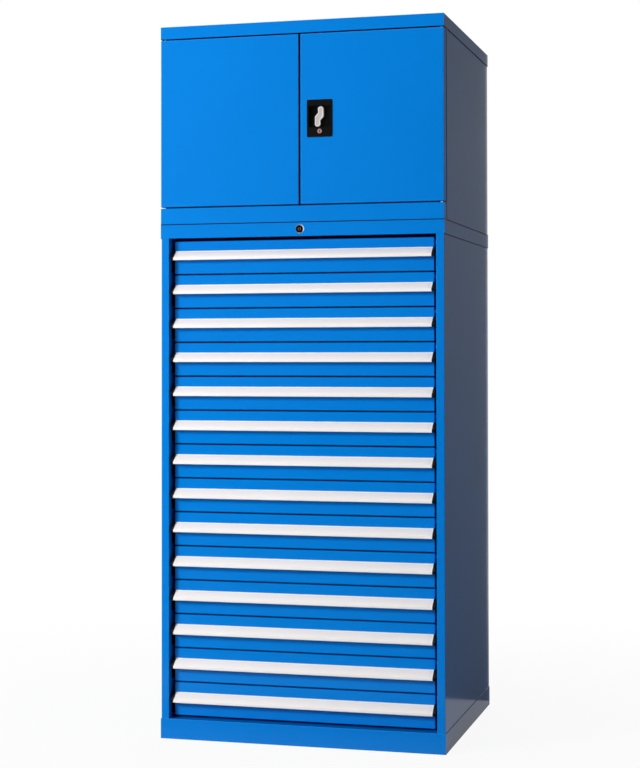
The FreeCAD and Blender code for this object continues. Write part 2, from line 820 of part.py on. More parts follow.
def lock_rod(way):
    """Rod with its slotted yoke; way is 1 for the upper rod, -1 for the lower."""
    reach = cam_radius / math.sqrt(2)
    slot_half = rod_stud_diameter / 2 + rod_play
    slot_z = lever_z - way * reach
    stud_side = way
    rim = slot_half + yoke_rim
    far = cam_radius + slot_half
    near = reach - slot_half
    stem_half = rod_diameter / 2 + stem_rim
    depth = (yoke_front, yoke_back)
    cup_edge = lever_z + way * (pocket_height / 2 + pocket_wall)
    rod_start = cup_edge + way * rod_start_gap
    stem_end = rod_start + way * rod_bridge_height
    rod_end = (door_top if way > 0 else door_bottom) - way * rod_end_gap

    def span(a, b):
        return (min(a, b), max(a, b))

    yoke = box(span(lever_x + stud_side * (near - yoke_rim),
                    lever_x + stud_side * (far + yoke_rim)), depth,
               (slot_z - rim, slot_z + rim))
    slot = box(span(lever_x + stud_side * near, lever_x + stud_side * far),
               (yoke_front - 1, yoke_back + 1), (slot_z - slot_half, slot_z + slot_half))
    arm_x = span(lever_x + stud_side * (far - stem_half), lever_x + stud_side * (far + yoke_rim))
    arm = box(arm_x, depth, span(slot_z + way * slot_half, stem_end))
    bridge = box(span(lever_x - stud_side * stem_half,
                      lever_x + stud_side * (far + yoke_rim)), depth,
                 span(rod_start, stem_end))
    low, high = span(rod_start, rod_end)
    rod = post(lever_x, rod_y, low, high, rod_diameter / 2)
    return [yoke.cut(slot).fuse([arm, bridge, rod]).removeSplitter()]


def key_cylinder():
    """Door lock: a turned barrel with its key slot."""
    face = front_plane - dish_plate
    barrel = cylinder(dish_x, face, front_plane + door_thickness / 2, key_z, key_diameter / 2)
    return [barrel.cut(key_slot(dish_x, face, key_z))]


# ---- write every sub-part -----------------------------------------------

os.makedirs("parts", exist_ok=True)
save("plinth", plinth())
save("drawer_housing", drawer_housing())
save("top_cover", top_cover())
save("hinge_pins_and_lock_ring", hinge_pins() + lock_rosette())
save("central_lock", central_lock())
save("lock_bar", lock_bar())
save("cupboard_shell", cupboard_shell())
save("cupboard_floor", cupboard_floor())
save("cupboard_roof", cupboard_roof())
save("cupboard_shelf", cupboard_shelf())
save("left_door", left_door())
save("right_door", right_door())
save("handle_dish", handle_dish())
save("turn_lever", turn_lever())
save("upper_lock_rod", lock_rod(1))
save("lower_lock_rod", lock_rod(-1))
save("key_cylinder", key_cylinder())

fixed_runners = []
for index, name in enumerate(drawer_names):
    base = drawer_base(index)
    axis = runner_axis(base)
    fixed = fixed_channel(axis)
    middle = middle_channel(axis)
    moving = drawer_channel(axis)
    fixed_runners.extend([fixed, mirrored(fixed)])
    save(name + "_box", drawer_box(base) + [moving, mirrored(moving)])
    save(name + "_handle", drawer_handle(base))
    save(name + "_runners", [middle, mirrored(middle)])
save("fixed_runners", fixed_runners)
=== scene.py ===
import math

import bmesh
import bpy
from mathutils import Euler, Matrix, Vector


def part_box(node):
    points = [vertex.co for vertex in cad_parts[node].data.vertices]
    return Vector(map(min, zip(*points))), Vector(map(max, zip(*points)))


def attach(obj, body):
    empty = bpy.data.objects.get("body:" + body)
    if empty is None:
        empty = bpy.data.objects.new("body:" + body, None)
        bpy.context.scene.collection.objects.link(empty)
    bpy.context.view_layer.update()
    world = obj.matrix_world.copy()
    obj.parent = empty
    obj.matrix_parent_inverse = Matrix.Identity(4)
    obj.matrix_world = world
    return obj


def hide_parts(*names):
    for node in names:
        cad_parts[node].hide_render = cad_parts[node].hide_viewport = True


bl_info = {
    "name": "Steel drawer cabinet",
    "version": (1, 0, 0),
    "blender": (4, 5, 0),
    "location": "View3D > Sidebar > Cabinet",
    "description": "Dresses a packed steel cabinet with its finishes, handle strips and stage",
    "category": "Object",
}

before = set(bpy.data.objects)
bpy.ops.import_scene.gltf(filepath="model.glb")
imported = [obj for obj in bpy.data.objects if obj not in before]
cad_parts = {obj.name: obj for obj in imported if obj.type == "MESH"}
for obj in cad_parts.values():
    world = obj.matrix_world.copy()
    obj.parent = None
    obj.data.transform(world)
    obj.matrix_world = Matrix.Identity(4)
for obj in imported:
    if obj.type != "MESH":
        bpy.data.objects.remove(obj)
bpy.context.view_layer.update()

MM = 0.001
WHITE = (1.0, 1.0, 1.0, 1.0)
SHARP_EDGE = math.radians(35)
UPRIGHT = math.radians(90)
DRAWERS = sorted(name[:-4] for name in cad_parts
                 if name.startswith("drawer_") and name.endswith("_box"))
PAINTED = ["plinth", "drawer_housing", "top_cover", "cupboard_shell", "cupboard_floor",
           "cupboard_roof", "cupboard_shelf", "left_door", "right_door"]


# ---- sizes and colours ---------------------------------------------------

def length(name, description, default):
    """A size that a user can change, in metres."""
    return bpy.props.FloatProperty(name=name, description=description, default=default,
                                   subtype="DISTANCE", unit="LENGTH", precision=5)


def colour(name, description, default):
    """A colour that a user can change, as an sRGB hex value."""
    return bpy.props.StringProperty(name=name, description=description, default=default)


def power(name, description, default):
    """Power of a lamp that a user can change, in watts."""
    return bpy.props.FloatProperty(name=name, description=description, default=default,
                                   unit="POWER")


def level(name, description, default):
    """Strength of an even light that a user can change."""
    return bpy.props.FloatProperty(name=name, description=description, default=default)


class HandleSizes(bpy.types.PropertyGroup):
    lip_height: length("Lip height", "Height of the upright lip of the strip", 7.0 * MM)
    lip_thickness: length("Lip thickness", "Thickness of the lip", 2.6 * MM)
    wall: length("Wall", "Wall of the strip", 1.8 * MM)
    back_leg: length("Back leg", "Leg that lies on the drawer front", 17.0 * MM)
    rib: length("Label rib", "Height of the two ribs that hold the label", 1.1 * MM)
    rib_width: length("Rib width", "Width of each rib", 1.6 * MM)
    soft_corner: length("Soft corner", "Radius of the strip's outer corners", 0.45 * MM)
    small_corner: length("Small corner", "Radius of the strip's inner corners", 0.3 * MM)
    cap_margin: length("Cap margin", "How far an end cap stands past the strip", 1.0 * MM)
    cap_thickness: length("Cap thickness", "Thickness of an end cap", 8.0 * MM)
    cap_corner: length("Cap corner", "Radius of an end cap's outline", 2.0 * MM)
    cap_edge: length("Cap edge", "Round on the edges of an end cap", 0.8 * MM)
    label_thickness: length("Label thickness", "Card and its clear cover", 0.7 * MM)
    label_inset: length("Label inset", "Bare strip at each end of the label", 5.5 * MM)
    label_gap: length("Label gap", "Gap between the label and each rib", 0.6 * MM)
    label_edge: length("Label edge", "Round on the label's face", 0.2 * MM)


# The seam strips and door buffers are black pieces put in seams and gaps as painted shade.
class SeamSizes(bpy.types.PropertyGroup):
    height: length("Strip height", "Height of a foam strip", 2.6 * MM)
    edge_height: length("Edge strip height", "Height of a strip under an edge", 1.2 * MM)
    depth: length("Strip depth", "How far a strip reaches into its seam", 2.0 * MM)
    hem_width: length("Hem width", "Width of the hem on a side panel", 14.0 * MM)
    hem_setback: length("Hem setback", "How far the hem stands behind the doors' face",
                        38.0 * MM)
    buffer: length("Buffer thickness", "Thickness of the foam round the doors", 0.4 * MM)
    buffer_edge: length("Buffer edge", "Chamfer on the edges of a buffer", 0.1 * MM)
    rod_gap: length("Rod gap", "Half of the gap that a buffer leaves for a lock rod", 7.0 * MM)
    buffer_inset: length("Buffer inset", "How far a buffer stays behind the edges", 2.5 * MM)
    set_in: length("Set in", "How far a strip stays behind the outer face", 0.1 * MM)


class CabinetColours(bpy.types.PropertyGroup):
    paint: colour("Paint", "Powder coat of all the steel sheet", "#007CD6")
    label: colour("Label", "Card in the handle strips", "#F8F2ED")
    plastic: colour("Plastic", "Dish of the turn handle and the strip ends", "#0C0C0D")


class LeverSizes(bpy.types.PropertyGroup):
    length: length("Lever length", "Height of the lever at rest", 55.0 * MM)
    width: length("Lever width", "Width over both arms", 25.0 * MM)
    arm: length("Arm width", "Width of one arm", 17.5 * MM)
    waist: length("Waist", "How far the waist stands in from the arm", 2.0 * MM)
    waist_height: length("Waist height", "Height of the waist above the middle", 11.0 * MM)
    corner: length("Corner radius", "Radius of the arm ends", 6.0 * MM)
    shoulder: length("Shoulder radius", "Radius of the waist corners", 3.0 * MM)
    bead_inset: length("Bead inset", "Middle of the raised bead from the edge", 2.0 * MM)
    bead_width: length("Bead width", "Width of the raised bead", 2.4 * MM)
    bead_height: length("Bead height", "Height of the bead over the face", 0.7 * MM)


class StageSettings(bpy.types.PropertyGroup):
    floor_radius: length("Floor radius", "Radius of the round floor", 12.0)
    floor_drop: length("Floor drop", "How far the floor lies under the plinth", 0.5 * MM)
    key_power: power("Key light", "Power of the front lamp", 265.0)
    fill_power: power("Fill light", "Power of the low lamp", 74.0)
    top_power: power("Top light", "Power of the top lamp", 40.0)
    back_power: power("Back light", "Power of the rear lamp", 200.0)
    room_level: level("Room light", "Level of the light from all round", 0.055)
    front_screen: level("Front screen", "Brightest level of the front screen", 0.16)
    side_screen: level("Side screen", "Brightest level of the side screen", 0.215)


# ---- node trees ----------------------------------------------------------

def linear(code):
    """Linear RGBA of an sRGB hex value."""
    values = [int(code[i:i + 2], 16) / 255 for i in (1, 3, 5)]
    return [v / 12.92 if v <= 0.04045 else ((v + 0.055) / 1.055) ** 2.4 for v in values] + [1.0]


def shade(code, factor):
    """Linear RGBA of a hex value, made lighter or darker."""
    return [min(1.0, v * factor) for v in linear(code)[:3]] + [1.0]


def add(tree, kind, values=(), links=(), **settings):
    """Add one node, with its settings, socket values and links."""
    node = tree.nodes.new(kind)
    for name, value in settings.items():
        setattr(node, name, value)
    for key, value in dict(values).items():
        socket_of(node, key).default_value = value
    for key, source in dict(links).items():
        tree.links.new(source, socket_of(node, key))
    return node


def socket_of(node, key):
    """Input socket in use, by name or by number."""
    if isinstance(key, int):
        return node.inputs[key]
    return next(socket for socket in node.inputs if socket.name == key and socket.enabled)


def empty_tree(owner):
    """Empty node tree of a material or a world."""
    owner.use_nodes = True
    owner.node_tree.nodes.clear()
    return owner.node_tree


# ---- finishes ------------------------------------------------------------

NOISE_RANGE = {"From Min": 0.3, "From Max": 0.7}   # nearly all of a noise lies between these


def grain(size, detail=2.0, stretch=(1.0, 1.0, 1.0)):
    """Grain of a pattern: its size in metres, its detail, and small where it is long."""
    return size, detail, stretch


def finish(name, values, tones, roughness=None, relief=None, dark=None):
    """Material whose colour, roughness and relief each follow a grain.

    tones is a grain and two colours, roughness a grain and two values, relief a grain and
    a depth. dark is the colour of painted shade and the function that adds the nodes saying
    where that painted shade lies.
    """
    material = bpy.data.materials.new(name)
    tree = empty_tree(material)
    place = add(tree, "ShaderNodeTexCoord").outputs["Object"]
    fields = {}
    for size, detail, stretch in {part[0] for part in (tones, roughness, relief) if part}:
        mapped = add(tree, "ShaderNodeMapping", {"Scale": stretch}, {"Vector": place})
        fields[size, detail, stretch] = add(
            tree, "ShaderNodeTexNoise", {"Scale": 1 / size, "Detail": detail},
            {"Vector": mapped.outputs["Vector"]}).outputs["Fac"]

    share = add(tree, "ShaderNodeMapRange", NOISE_RANGE, {"Value": fields[tones[0]]})
    tone = add(tree, "ShaderNodeMix", {"A": tones[1], "B": tones[2]},
               {"Factor": share.outputs["Result"]}, data_type="RGBA").outputs["Result"]
    # painted shade: the dark colour is mixed in where its mask says
    if dark:
        tone = add(tree, "ShaderNodeMix", {"B": dark[0]}, {"Factor": dark[1](tree, place),
                                                          "A": tone},
                   data_type="RGBA").outputs["Result"]
    links = {"Base Color": tone}
    if roughness:
        links["Roughness"] = add(
            tree, "ShaderNodeMapRange",
            {**NOISE_RANGE, "To Min": roughness[1], "To Max": roughness[2]},
            {"Value": fields[roughness[0]]}).outputs["Result"]
    if relief:
        links["Normal"] = add(tree, "ShaderNodeBump", {"Strength": 1.0, "Distance": relief[1]},
                              {"Height": fields[relief[0]]}).outputs["Normal"]
    shader = add(tree, "ShaderNodeBsdfPrincipled", values, links)
    add(tree, "ShaderNodeOutputMaterial", links={"Surface": shader.outputs["BSDF"]})
    return material


def lock_painted_shade(centre, inner, outer):
    """Painted shade of a lock face: a dark ring from inner to outer and a dark upright key slot.
    """
    slot_half_width, slot_half_height, soft = 1.0 * MM, 3.5 * MM, 0.4 * MM

    def amount(tree, place):
        away = add(tree, "ShaderNodeVectorMath", {1: centre}, {0: place}, operation="SUBTRACT")
        parts = add(tree, "ShaderNodeSeparateXYZ", links={0: away.outputs[0]}).outputs
        flat = add(tree, "ShaderNodeCombineXYZ", links={"X": parts["X"], "Z": parts["Z"]})
        around = add(tree, "ShaderNodeVectorMath", links={0: flat.outputs[0]},
                     operation="LENGTH").outputs["Value"]
        across, upright = (add(tree, "ShaderNodeMath", links={0: parts[axis]},
                               operation="ABSOLUTE").outputs[0] for axis in ("X", "Z"))
        sides = [add(tree, "ShaderNodeMapRange",
                     {"From Min": edge, "From Max": edge + soft, "To Min": first,
                      "To Max": 1.0 - first}, {"Value": source}).outputs["Result"]
                 for source, edge, first in ((around, inner, 0.0), (around, outer, 1.0),
                                             (across, slot_half_width, 1.0),
                                             (upright, slot_half_height, 1.0))]
        ring, slot = (add(tree, "ShaderNodeMath", links={0: one, 1: other},
                          operation="MULTIPLY").outputs[0]
                      for one, other in (sides[:2], sides[2:]))
        return add(tree, "ShaderNodeMath", links={0: ring, 1: slot},
                   operation="MAXIMUM").outputs[0]

    return amount


def pocket_painted_shade(start):
    """Painted shade of a dish: darker on all that lies further back than the start of its
    pocket.
    """
    soft = 4 * MM

    def amount(tree, place):
        depth = add(tree, "ShaderNodeSeparateXYZ", links={0: place}).outputs["Y"]
        return add(tree, "ShaderNodeMapRange", {"From Min": start, "From Max": start + soft},
                   {"Value": depth}).outputs["Result"]

    return amount


def powder_coat(code):
    """Polyester powder coat, sprayed and baked on steel sheet.

    A smooth semi-gloss skin with a faint orange peel and hardly any change of colour.
    """
    return finish("powder_coated_steel", {"IOR": 1.5, "Specular IOR Level": 0.42},
                  (grain(350 * MM), shade(code, 0.98), shade(code, 1.02)),
                  (grain(50 * MM), 0.12, 0.15), (grain(3 * MM, 1.0), 0.006 * MM))


# Rolling lines are a few hundredths of a millimetre apart; they are drawn coarser, to show.
ROLLING_LINES = grain(1.2 * MM, 2.0, (1.0, 0.02, 1.0))


def zinc_plate():
    """Cold-rolled steel, zinc plated and passivated.

    Bluish grey, with a soft mottled bloom and fine rolling lines.
    """
    return finish("zinc_plated_steel", {"Metallic": 1.0},
                  (grain(9 * MM, 3.0), linear("#B4B9BF"), linear("#CBD0D4")),
                  (ROLLING_LINES, 0.3, 0.42), (ROLLING_LINES, 0.01 * MM))


def shaded_zinc():
    """Cold-rolled steel, zinc plated, drawn near black as painted shade.

    Dark oily grey with a soft mottle; the painted shade keeps the runners dark in their gaps.
    """
    return finish("zinc_in_painted_shade", {"Metallic": 0.9},
                  (grain(7 * MM, 3.0), linear("#2B2D30"), linear("#3C3F43")),
                  (ROLLING_LINES, 0.3, 0.45))


def copper_brass(centre):
    """Brass lock plug, turned, with a dark ring of painted shade round it.

    Pinkish and soft, with fine turning marks and a key slot painted dark as shade. The marks
    are drawn at half a millimetre, coarser than a tool leaves them, so that they break up the
    gleam.
    """
    marks = grain(0.5 * MM)
    return finish("turned_brass_plug", {"Metallic": 0.35},
                  (marks, linear("#AE8681"), linear("#C59E99")), (marks, 0.42, 0.55),
                  (marks, 0.01 * MM),
                  (linear("#2A1718"), lock_painted_shade(centre, 6.0 * MM, 20.0 * MM)))


def anodised_aluminium():
    """Aluminium, extruded, etched and clear anodised.

    White and satin rather than mirror-like, with faint die lines along the strip, drawn
    coarser than they are so that they show.
    """
    lines = grain(0.8 * MM, 2.0, (0.004, 1.0, 1.0))
    return finish("etched_anodised_aluminium", {"Metallic": 0.12},
                  (lines, linear("#FAF6F2"), linear("#FFFDFB")), (lines, 0.38, 0.48),
                  (lines, 0.006 * MM))


def label_card(code):
    """Uncoated card behind a clear rigid film.

    Warm off-white, with a little fibre mottle and a hard glossy face.
    """
    return finish("label_card_under_film",
                  {"Roughness": 0.7, "Coat Weight": 0.25, "Coat Roughness": 0.12},
                  (grain(1.5 * MM, 4.0), shade(code, 0.97), shade(code, 1.0)),
                  relief=(grain(14 * MM), 0.02 * MM))


def moulded_plastic(code, pocket):
    """ABS, injection moulded in a lightly spark-eroded tool.

    Near black, with an even grain drawn coarser than a tenth of a millimetre so that it
    shows; painted shade makes it darker from the pocket depth inwards.
    """
    sparks = grain(0.6 * MM, 3.0)
    return finish("black_moulded_abs", {"IOR": 1.53, "Specular IOR Level": 0.2},
                  (sparks, shade(code, 1.3), shade(code, 1.7)), (sparks, 0.2, 0.26),
                  (sparks, 0.01 * MM), (shade(code, 0.9), pocket_painted_shade(pocket)))


def silver_lacquer(low, high):
    """Zinc die casting, bead blasted and sprayed with silver lacquer.

    Pale and silky rather than mirror-like, with a very fine grain in the metal flake. The
    flake is drawn at half a millimetre, coarser than it is, so that it shows.
    """
    flake = grain(0.5 * MM, 3.0)
    return finish("silver_lacquered_die_casting", {"Metallic": 0.3},
                  (flake, linear(low), linear(high)), (grain(6 * MM), 0.3, 0.38),
                  (flake, 0.01 * MM))


def nickel_plate(centre):
    """Brass, turned, polished and nickel plated.

    Bright warm grey metal; the bevel round the lock plug is painted dark bronze, as painted
    shade and dark reflection in that recess.
    """
    film = grain(4 * MM)
    return finish("nickel_plated_brass", {"Metallic": 1.0},
                  (film, linear("#E3DDD3"), linear("#F6F2EB")), (film, 0.14, 0.24),
                  (grain(0.7 * MM), 0.004 * MM),
                  (linear("#2B211B"), lock_painted_shade(centre, 4.4 * MM, 9.6 * MM)))


def seam_shade_foam():
    """Closed-cell EPDM foam, cut in strips.

    Dull black strips with an open grain, put in seams and gaps.

    They are painted shade: a seam reads as a plain dark line.
    """
    cells = grain(0.5 * MM)
    return finish("black_seam_shade_foam", {"Specular IOR Level": 0.15},
                  (cells, linear("#0B0C0E"), linear("#17181B")), (cells, 0.75, 0.9),
                  (cells, 0.05 * MM))


def middle_of(node):
    """Middle of a CAD node's box."""
    low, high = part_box(node)
    return (low + high) / 2


def dress(material, nodes):
    """Give CAD nodes one material."""
    for name in nodes:
        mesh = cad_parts[name].data
        mesh.materials.clear()
        mesh.materials.append(material)


# ---- meshes and pieces ---------------------------------------------------

def linked(name, data):
    """New object in the scene's collection."""
    holder = bpy.data.objects.new(name, data)
    bpy.context.collection.objects.link(holder)
    return holder


def mesh_of(work, name, material):
    """Mesh of a finished bmesh, in one material."""
    mesh = bpy.data.meshes.new(name)
    work.to_mesh(mesh)
    work.free()
    mesh.materials.append(material)
    return mesh


def faces_out(mesh):
    """Point every face outwards, and shade by angle."""
    work = bmesh.new()
    work.from_mesh(mesh)
    bmesh.ops.recalc_face_normals(work, faces=work.faces)
    work.to_mesh(mesh)
    work.free()
    mesh.shade_smooth()
    mesh.set_sharp_from_angle(angle=SHARP_EDGE)


def keep_piece(name, mesh, body):
    """Put a finished mesh in the scene and let it ride on a body."""
    faces_out(mesh)
    piece = linked(name, mesh)
    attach(piece, body)
    return piece


def make_piece(name, tree, inputs, body, bevel=0.0):
    """Run a tree, keep its result as a plain mesh, and let it ride on a body."""
    carrier = linked(name + "_carrier", bpy.data.meshes.new(name))
    modifier = carrier.modifiers.new("nodes", "NODES")
    modifier.node_group = tree
    for item in tree.interface.items_tree:
        if item.item_type == "SOCKET" and item.name in inputs:
            modifier[item.identifier] = inputs[item.name]
    if bevel:
        edge = carrier.modifiers.new("edge", "BEVEL")
        edge.width = bevel
        edge.segments = 3
        edge.limit_method = "ANGLE"
    bpy.context.view_layer.update()
    result = carrier.evaluated_get(bpy.context.evaluated_depsgraph_get())
    mesh = bpy.data.meshes.new_from_object(result)
    bpy.data.objects.remove(carrier)
    return keep_piece(name, mesh, body)


def profile_curve(name, points):
    """Closed flat curve; each point is (y, z, corner radius)."""
    curve = bpy.data.curves.new(name, "CURVE")
    curve.dimensions = "2D"
    spline = curve.splines.new("POLY")
    spline.points.add(len(points) - 1)
    for point, (y, z, radius) in zip(spline.points, points):
        point.co = (y, z, 0.0, 1.0)
        point.radius = radius
    spline.use_cyclic_u = True
    return linked(name, curve)


# ---- geometry nodes ------------------------------------------------------

def new_tree(name, sockets):
    """Geometry tree with its named inputs, and the outputs of its input node."""
    tree = bpy.data.node_groups.new(name, "GeometryNodeTree")
    for label, kind in sockets.items():
        tree.interface.new_socket(label, in_out="INPUT", socket_type="NodeSocket" + kind)
    tree.interface.new_socket("Geometry", in_out="OUTPUT", socket_type="NodeSocketGeometry")
    return tree, add(tree, "NodeGroupInput").outputs


def rounded_outline(tree, outline, steps):
    """Curve of an outline object, with each corner rounded by its own radius."""
    drawn = add(tree, "GeometryNodeObjectInfo", links={"Object": outline})
    corner = add(tree, "GeometryNodeInputRadius").outputs["Radius"]
    return add(tree, "GeometryNodeFilletCurve", {"Limit Radius": True, "Count": steps},
               {"Curve": drawn.outputs["Geometry"], "Radius": corner},
               mode="POLY").outputs["Curve"]


def finish_tree(tree, geometry, material):
    """End a tree: realize its instances and set their material."""
    real = add(tree, "GeometryNodeRealizeInstances", links={"Geometry": geometry})
    painted = add(tree, "GeometryNodeSetMaterial",
                  links={"Geometry": real.outputs["Geometry"], "Material": material})
    add(tree, "NodeGroupOutput", links={"Geometry": painted.outputs["Geometry"]})


def extrusion_tree():
    """Tree that rounds a profile, extrudes it along X and lifts it into place."""
    tree, given = new_tree("extruded_strip", {"Profile": "Object", "Start": "Float",
                                              "Length": "Float", "Lift": "Float",
                                              "Mirror Copy": "Bool", "Material": "Material"})
    face = add(tree, "GeometryNodeFillCurve",
               links={"Curve": rounded_outline(tree, given["Profile"], 4)}, mode="NGONS")
    along = add(tree, "ShaderNodeCombineXYZ", links={"Z": given["Length"]})
    pulled = add(tree, "GeometryNodeExtrudeMesh", {"Offset Scale": 1.0, "Individual": False},
                 {"Mesh": face.outputs["Mesh"], "Offset": along.outputs["Vector"]}, mode="FACES")
    closed = add(tree, "GeometryNodeFlipFaces", links={"Mesh": face.outputs["Mesh"]})
    joined = add(tree, "GeometryNodeJoinGeometry")
    tree.links.new(closed.outputs["Mesh"], joined.inputs["Geometry"])
    tree.links.new(pulled.outputs["Mesh"], joined.inputs["Geometry"])
    solid = add(tree, "GeometryNodeMergeByDistance", {"Distance": MM / 1000},
                {"Geometry": joined.outputs["Geometry"]})
    move = add(tree, "ShaderNodeCombineXYZ", links={"X": given["Start"], "Z": given["Lift"]})
    turned = add(tree, "GeometryNodeTransform", {"Rotation": Euler((UPRIGHT, 0, UPRIGHT))},
                 {"Geometry": solid.outputs["Geometry"], "Translation": move.outputs["Vector"]})
    other = add(tree, "GeometryNodeTransform", {"Scale": (-1.0, 1.0, 1.0)},
                {"Geometry": turned.outputs["Geometry"]})
    pair = add(tree, "GeometryNodeJoinGeometry")
    tree.links.new(other.outputs["Geometry"], pair.inputs["Geometry"])
    tree.links.new(turned.outputs["Geometry"], pair.inputs["Geometry"])
    choice = add(tree, "GeometryNodeSwitch",
                 links={"Switch": given["Mirror Copy"], "False": turned.outputs["Geometry"],
                        "True": pair.outputs["Geometry"]}, input_type="GEOMETRY")
    finish_tree(tree, choice.outputs["Output"], given["Material"])
    return tree


def bead_tree():
    """Tree that runs a rounded bead along a flat outline, in an upright plane."""
    tree, given = new_tree("bead_on_outline", {"Outline": "Object", "Bead Width": "Float",
                                               "Bead Height": "Float", "Place": "Vector",
                                               "Material": "Material"})
    even = add(tree, "GeometryNodeSetCurveRadius", {"Radius": 1.0},
               {"Curve": rounded_outline(tree, given["Outline"], 8)})
    upright = add(tree, "GeometryNodeSetCurveNormal", links={"Curve": even.outputs["Curve"]},
                  mode="Z_UP")
    section = add(tree, "GeometryNodeCurvePrimitiveCircle", {"Resolution": 12, "Radius": 0.5})
    size = add(tree, "ShaderNodeCombineXYZ", {"Z": 1.0},
               {"X": given["Bead Width"], "Y": given["Bead Height"]})
    flat = add(tree, "GeometryNodeTransform", links={"Geometry": section.outputs["Curve"],
                                                     "Scale": size.outputs["Vector"]})
    bead = add(tree, "GeometryNodeCurveToMesh",
               links={"Curve": upright.outputs["Curve"],
                      "Profile Curve": flat.outputs["Geometry"]})
    turned = add(tree, "GeometryNodeTransform", {"Rotation": Euler((UPRIGHT, 0, 0))},
                 {"Geometry": bead.outputs["Mesh"], "Translation": given["Place"]})
    finish_tree(tree, turned.outputs["Geometry"], given["Material"])
    return tree


# ---- finishes of the CAD nodes -------------------------------------------

class CABINET_OT_painted_steel(bpy.types.Operator):
    """Powder coat on the housing, doors and drawers"""
    bl_idname = "cabinet.painted_steel"
    bl_label = "Painted steel"

    def execute(self, context):
        paint = powder_coat(context.scene.cabinet_colours.paint)
        dress(paint, PAINTED + [drawer + "_box" for drawer in DRAWERS])
        return {"FINISHED"}


class CABINET_OT_metal_parts(bpy.types.Operator):
    """Zinc, nickel, brass, lacquer and plastic finishes of the fittings"""
    bl_idname = "cabinet.metal_parts"
    bl_label = "Metal parts"

    def execute(self, context):
        colours = context.scene.cabinet_colours
        dress(zinc_plate(), ["lock_bar", "upper_lock_rod", "lower_lock_rod"])
        # The runners are drawn dark: painted shade in the gaps beside the drawers.
        dress(shaded_zinc(), ["fixed_runners"] + [drawer + "_runners" for drawer in DRAWERS])
        dress(nickel_plate(middle_of("top_cover")),
              ["hinge_pins_and_lock_ring", "central_lock"])
        dress(copper_brass(middle_of("key_cylinder")), ["key_cylinder"])
        dress(silver_lacquer("#CFC9C6", "#DCD6D3"), ["turn_lever"])
        # The dish is drawn darker behind the door's front face: painted shade in its pocket.
        dress(moulded_plastic(colours.plastic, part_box("right_door")[0].y), ["handle_dish"])
        dress(anodised_aluminium(), [drawer + "_handle" for drawer in DRAWERS])
        return {"FINISHED"}


# ---- handle strips -------------------------------------------------------

class StripShape:
    """Heights and depths of a handle strip, taken from its CAD node."""

    def __init__(self, sizes, node):
        low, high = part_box(node)
        self.bottom = low.z + sizes.cap_margin
        self.height = high.z - low.z - 2 * sizes.cap_margin
        self.nose = low.y
        self.wall = high.y
        self.half = high.x - sizes.cap_thickness
        self.rise = (self.height - sizes.lip_height) / (self.wall - self.nose)

    def label_height(self, sizes, y):
        """Height of the slope that carries the label, at a depth."""
        return sizes.lip_height - sizes.rib + (y - self.nose) * self.rise


def strip_profile(sizes, shape):
    """Lip, label slope between two ribs, and back leg; heights start at the lower edge."""
    skin = sizes.wall * math.hypot(1, shape.rise)
    nose, wall, top = shape.nose, shape.wall, shape.height
    leg = top - sizes.back_leg
    inner_nose, inner_wall = nose + sizes.lip_thickness, wall - sizes.wall
    front, back = nose + sizes.rib_width, wall - sizes.rib_width
    heights = {y: shape.label_height(sizes, y) for y in (inner_nose, inner_wall, front, back)}
    soft, small = sizes.soft_corner, sizes.small_corner
    return [(nose, 0.0, soft), (inner_nose, 0.0, soft),
            (inner_nose, heights[inner_nose] - skin, soft),
            (inner_wall, heights[inner_wall] - skin, soft), (inner_wall, leg, small),
            (wall, leg, 0.0), (wall, top, 0.0), (back, top, small),
            (back, heights[back], 0.0), (front, heights[front], 0.0),
            (front, sizes.lip_height, small), (nose, sizes.lip_height, soft)]


def label_profile(sizes, shape):
    """Thin card that lies on the slope between the ribs."""
    front = shape.nose + sizes.rib_width + sizes.label_gap
    back = shape.wall - sizes.rib_width - sizes.label_gap
    thick = sizes.label_thickness * math.hypot(1, shape.rise)
    low, high = shape.label_height(sizes, front), shape.label_height(sizes, back)
    return [(front, low, 0.0), (back, high, 0.0), (back, high + thick, sizes.label_edge),
            (front, low + thick, sizes.label_edge)]


def cap_profile(sizes, shape):
    """Side view of an end cap."""
    margin, corner = sizes.cap_margin, sizes.cap_corner
    nose, wall, top = shape.nose, shape.wall, shape.height + margin
    return [(nose, -margin, corner), (wall, sizes.lip_height - margin, 0.0), (wall, top, 0.0),
            (wall - 2 * margin, top, corner), (nose, sizes.lip_height + margin, corner)]


